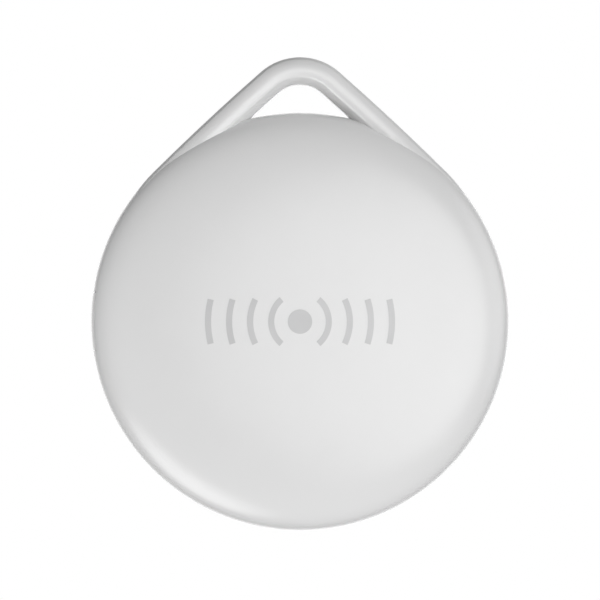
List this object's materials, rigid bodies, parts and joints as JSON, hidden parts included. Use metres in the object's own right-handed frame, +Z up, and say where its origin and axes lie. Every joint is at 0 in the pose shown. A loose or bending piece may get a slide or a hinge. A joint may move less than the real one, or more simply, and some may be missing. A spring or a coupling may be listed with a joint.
{
  "type": "bluetooth tracker tag",
  "caption": "Round white tracker tag with a teardrop key loop moulded on its domed front shell and a lift-off rear cover over a coin cell and circuit board.",
  "frame": {"origin": "axis of the round body on the flat back face", "axes": "+Z up through the key loop, -Y out of the domed front, +Y out of the flat back, +X to the right seen from the front"},
  "size_m": [0.038, 0.0082, 0.043],
  "materials": {
    "shell_white": "polished white ABS",
    "cover_white": "fine satin white ABS",
    "print_grey": "pad-printed ink",
    "seal_rubber": "black silicone",
    "foam_grey": "fine closed-cell foam",
    "cradle_black": "moulded black nylon",
    "screw_steel": "zinc plated",
    "board_green": "solder mask on glass laminate",
    "chip_black": "moulded epoxy",
    "crystal_metal": "plated lid",
    "antenna_ceramic": "fired ceramic",
    "capacitor_tan": "fired ceramic",
    "resistor_black": "glazed film",
    "inductor_grey": "ferrite",
    "pad_gold": "gold plated",
    "contact_nickel": "nickel plated spring steel",
    "glue_clear": "cured adhesive",
    "piezo_brass": "rolled sheet",
    "piezo_silver": "silvered ceramic",
    "spring_gold": "gold plated spring",
    "switch_black": "moulded nylon",
    "terminal_tin": "tinned",
    "can_steel": "nickel plated, finely brushed",
    "cap_steel": "nickel plated, finely brushed",
    "grommet_nylon": "nylon",
    "electrode_dark": "pressed powder",
    "plunger_white": "moulded nylon"
  },
  "bodies": {
    "housing": {"front_housing": "shell_white", "printed_mark": "print_grey", "battery_cradle": "cradle_black", "cradle_screws": "screw_steel", "main_board": "board_green", "radio_chip": "chip_black", "radio_crystal": "crystal_metal", "clock_crystal": "crystal_metal", "accelerometer": "chip_black", "chip_antenna": "antenna_ceramic", "capacitors": "capacitor_tan", "resistors": "resistor_black", "boost_inductor": "inductor_grey", "driver_transistor": "chip_black", "test_pads": "pad_gold", "positive_contact": "contact_nickel", "negative_contact": "contact_nickel", "piezo_adhesive": "glue_clear", "piezo_plate": "piezo_brass", "piezo_ceramic": "piezo_silver", "piezo_springs": "spring_gold", "switch_body": "switch_black", "switch_terminals": "terminal_tin", "switch_dome": "contact_nickel"},
    "rear_cover": {"rear_cover": "cover_white", "cover_seal": "seal_rubber", "foam_pad": "foam_grey"},
    "coin_cell": {"cell_can": "can_steel", "cell_cap": "cap_steel", "cell_grommet": "grommet_nylon", "cell_core": "electrode_dark"},
    "switch_plunger": {"switch_plunger": "plunger_white"}
  },
  "joints": [
    {"name": "cover_lift", "type": "slide", "parent": "housing", "child": "rear_cover", "axis": [0, 1, 0], "range_m": [0, 0.016]},
    {"name": "cell_lift", "type": "slide", "parent": "housing", "child": "coin_cell", "axis": [0, 1, 0], "range_m": [0, 0.008]},
    {"name": "switch_press", "type": "slide", "parent": "housing", "child": "switch_plunger", "axis": [0, 1, 0], "range_m": [0, 0.00015], "stiffness_N_per_m": 6400, "deforming": ["switch_dome"]}
  ],
  "couplings": [
    {"joint": "cell_lift", "follows": "cover_lift", "ratio": 0.5}
  ]
}
